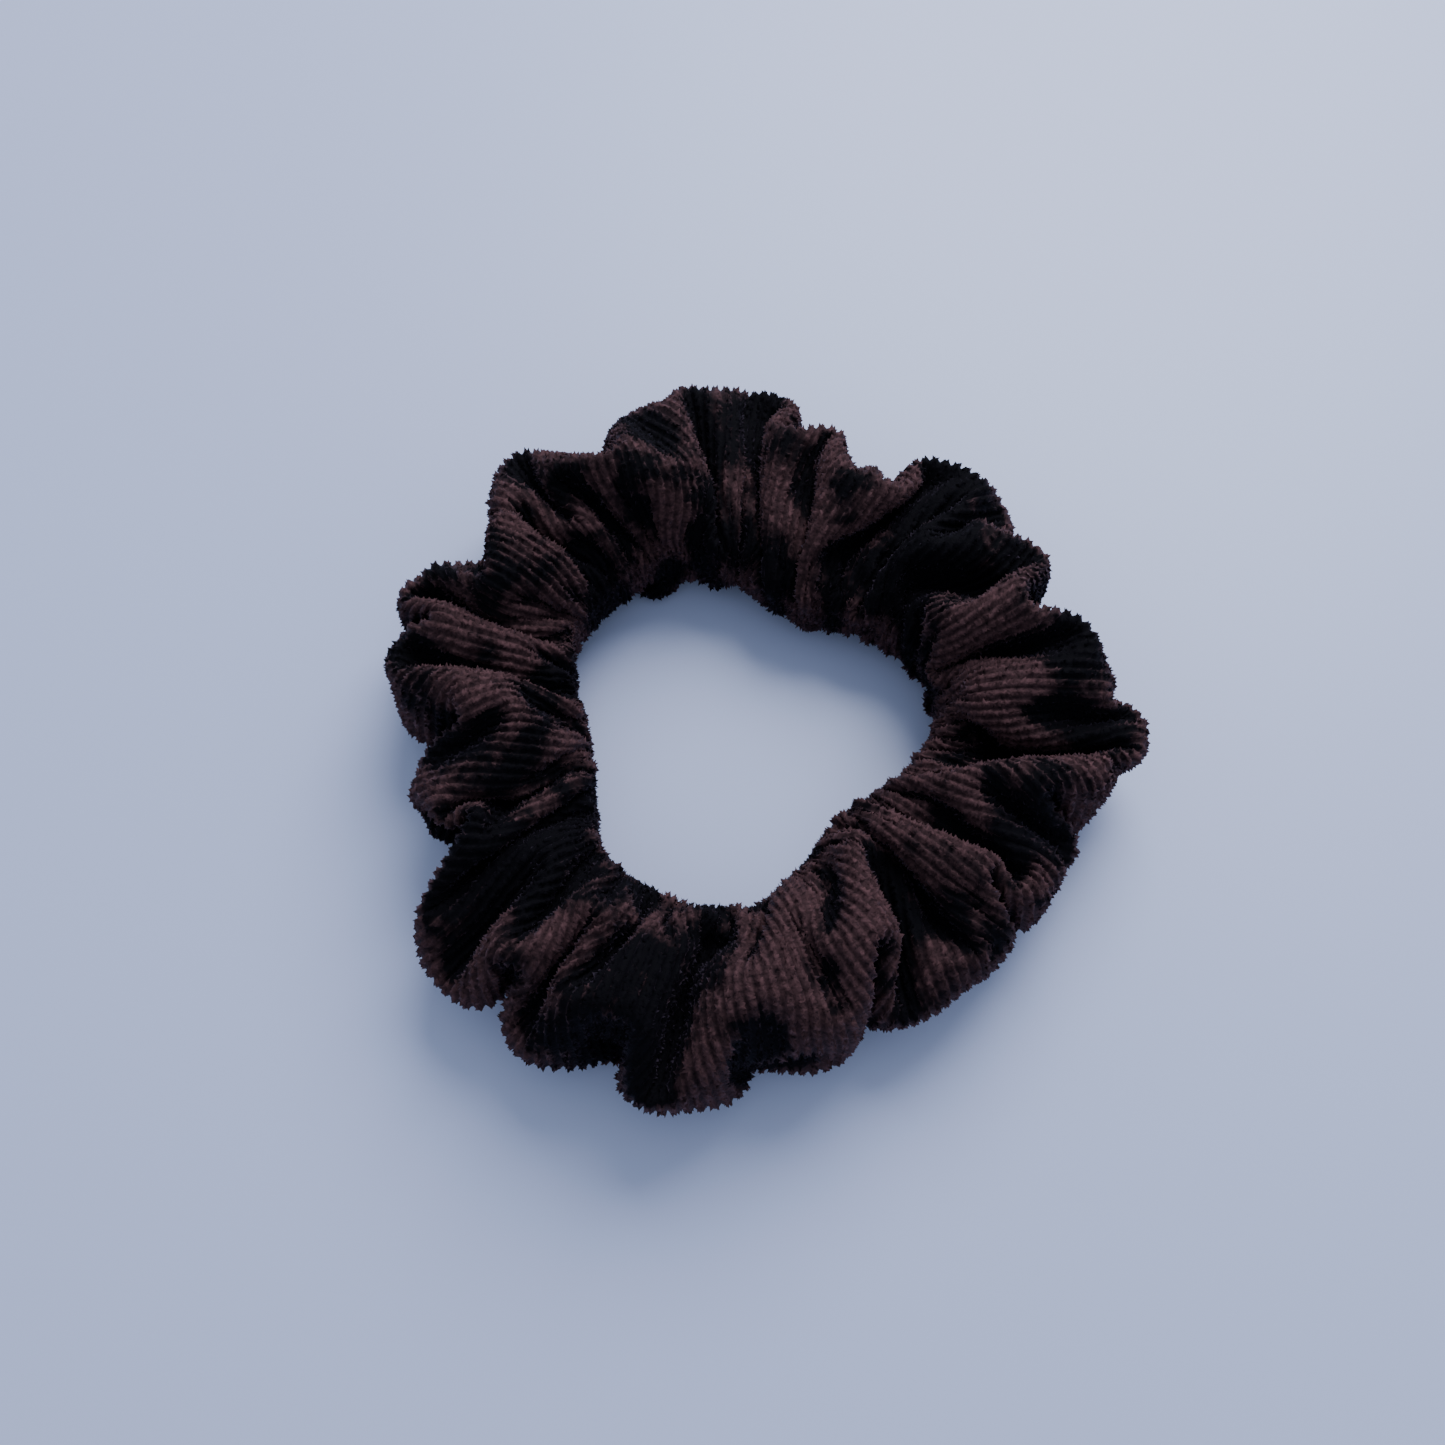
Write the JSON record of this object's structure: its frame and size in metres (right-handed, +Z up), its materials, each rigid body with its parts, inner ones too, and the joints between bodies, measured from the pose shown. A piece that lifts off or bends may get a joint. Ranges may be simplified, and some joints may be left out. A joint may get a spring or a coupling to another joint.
{
  "type": "scrunchie",
  "caption": "Gathered dark ribbed velvet scrunchie: a hollow fabric tube in puffs round a loop of flat elastic that stretches open for the hair.",
  "frame": {"origin": "centre of the loop on the plane it lies on", "axes": "+Z up along the loop's axis, away from the table; +X to the right and +Y to the back as the loop is usually seen"},
  "size_m": [0.0952, 0.0948, 0.0205],
  "materials": {
    "velvet": "very dark brown ribbed velvet, matte with a soft sheen",
    "elastic": "off-white flat braided elastic",
    "sleeve_thread": "dark brown polyester sewing thread",
    "lap_thread": "white polyester sewing thread"
  },
  "bodies": {
    "puff_01": {"sleeve_puff_01": "velvet", "elastic_span_01": "elastic", "seam_thread_01": "sleeve_thread"},
    "puff_02": {"sleeve_puff_02": "velvet", "elastic_span_02": "elastic", "seam_thread_02": "sleeve_thread"},
    "puff_03": {"sleeve_puff_03": "velvet", "elastic_span_03": "elastic", "seam_thread_03": "sleeve_thread"},
    "puff_04": {"sleeve_puff_04": "velvet", "elastic_span_04": "elastic", "seam_thread_04": "sleeve_thread"},
    "puff_05": {"sleeve_puff_05": "velvet", "elastic_span_05": "elastic", "seam_thread_05": "sleeve_thread"},
    "puff_06": {"sleeve_puff_06": "velvet", "elastic_span_06": "elastic", "seam_thread_06": "sleeve_thread"},
    "puff_07": {"sleeve_puff_07": "velvet", "elastic_span_07": "elastic", "seam_thread_07": "sleeve_thread"},
    "puff_08": {"sleeve_puff_08": "velvet", "elastic_span_08": "elastic", "seam_thread_08": "sleeve_thread", "elastic_lap_tail": "elastic", "elastic_lap_stitch": "lap_thread"},
    "puff_09": {"sleeve_puff_09": "velvet", "elastic_span_09": "elastic", "seam_thread_09": "sleeve_thread"},
    "puff_10": {"sleeve_puff_10": "velvet", "elastic_span_10": "elastic", "seam_thread_10": "sleeve_thread"},
    "puff_11": {"sleeve_puff_11": "velvet", "elastic_span_11": "elastic", "seam_thread_11": "sleeve_thread"},
    "puff_12": {"sleeve_puff_12": "velvet", "elastic_span_12": "elastic", "seam_thread_12": "sleeve_thread"},
    "closing_seam": {"sleeve_tucked_end": "velvet", "closing_stitch": "sleeve_thread"}
  },
  "joints": [
    {"name": "loop_stretch", "type": "slide", "parent": "puff_08", "child": "puff_09", "axis": [-0.9205, -0.3907, 0], "range_m": [0, 0.01228], "stiffness_N_per_m": 2079},
    {"name": "stretch_puff_10", "type": "slide", "parent": "puff_09", "child": "puff_10", "axis": [-0.5446, -0.8387, 0], "range_m": [0, 0.0123]},
    {"name": "stretch_puff_11", "type": "slide", "parent": "puff_10", "child": "puff_11", "axis": [-0.0262, -0.9997, 0], "range_m": [0, 0.01054]},
    {"name": "stretch_puff_12", "type": "slide", "parent": "puff_11", "child": "puff_12", "axis": [0.4617, -0.887, 0], "range_m": [0, 0.01054]},
    {"name": "stretch_puff_01", "type": "slide", "parent": "puff_12", "child": "puff_01", "axis": [0.8434, -0.5373, 0], "range_m": [0, 0.01124]},
    {"name": "stretch_puff_02", "type": "slide", "parent": "puff_01", "child": "puff_02", "axis": [0.9986, -0.0523, 0], "range_m": [0, 0.01018]},
    {"name": "stretch_puff_03", "type": "slide", "parent": "puff_02", "child": "puff_03", "axis": [0.9205, 0.3907, 0], "range_m": [0, 0.00875]},
    {"name": "stretch_puff_04", "type": "slide", "parent": "puff_03", "child": "puff_04", "axis": [0.6756, 0.7373, 0], "range_m": [0, 0.00911]},
    {"name": "stretch_puff_05", "type": "slide", "parent": "puff_04", "child": "puff_05", "axis": [0.2588, 0.9659, 0], "range_m": [0, 0.01089]},
    {"name": "stretch_puff_06", "type": "slide", "parent": "puff_05", "child": "puff_06", "axis": [-0.3502, 0.9367, 0], "range_m": [0, 0.01473]},
    {"name": "stretch_puff_07", "type": "slide", "parent": "puff_06", "child": "puff_07", "axis": [-0.8141, 0.5807, 0], "range_m": [0, 0.00983]},
    {"name": "stretch_closing_seam", "type": "slide", "parent": "puff_07", "child": "closing_seam", "axis": [-0.9903, 0.1392, 0], "range_m": [0, 0.01018]}
  ],
  "couplings": [
    {"joint": "stretch_puff_10", "follows": "loop_stretch", "ratio": 1},
    {"joint": "stretch_puff_11", "follows": "loop_stretch", "ratio": 0.85638},
    {"joint": "stretch_puff_12", "follows": "loop_stretch", "ratio": 0.85638},
    {"joint": "stretch_puff_01", "follows": "loop_stretch", "ratio": 0.91404},
    {"joint": "stretch_puff_02", "follows": "loop_stretch", "ratio": 0.82745},
    {"joint": "stretch_puff_03", "follows": "loop_stretch", "ratio": 0.71112},
    {"joint": "stretch_puff_04", "follows": "loop_stretch", "ratio": 0.74029},
    {"joint": "stretch_puff_05", "follows": "loop_stretch", "ratio": 0.88524},
    {"joint": "stretch_puff_06", "follows": "loop_stretch", "ratio": 1.1978},
    {"joint": "stretch_puff_07", "follows": "loop_stretch", "ratio": 0.79845},
    {"joint": "stretch_closing_seam", "follows": "loop_stretch", "ratio": 0.82745}
  ]
}
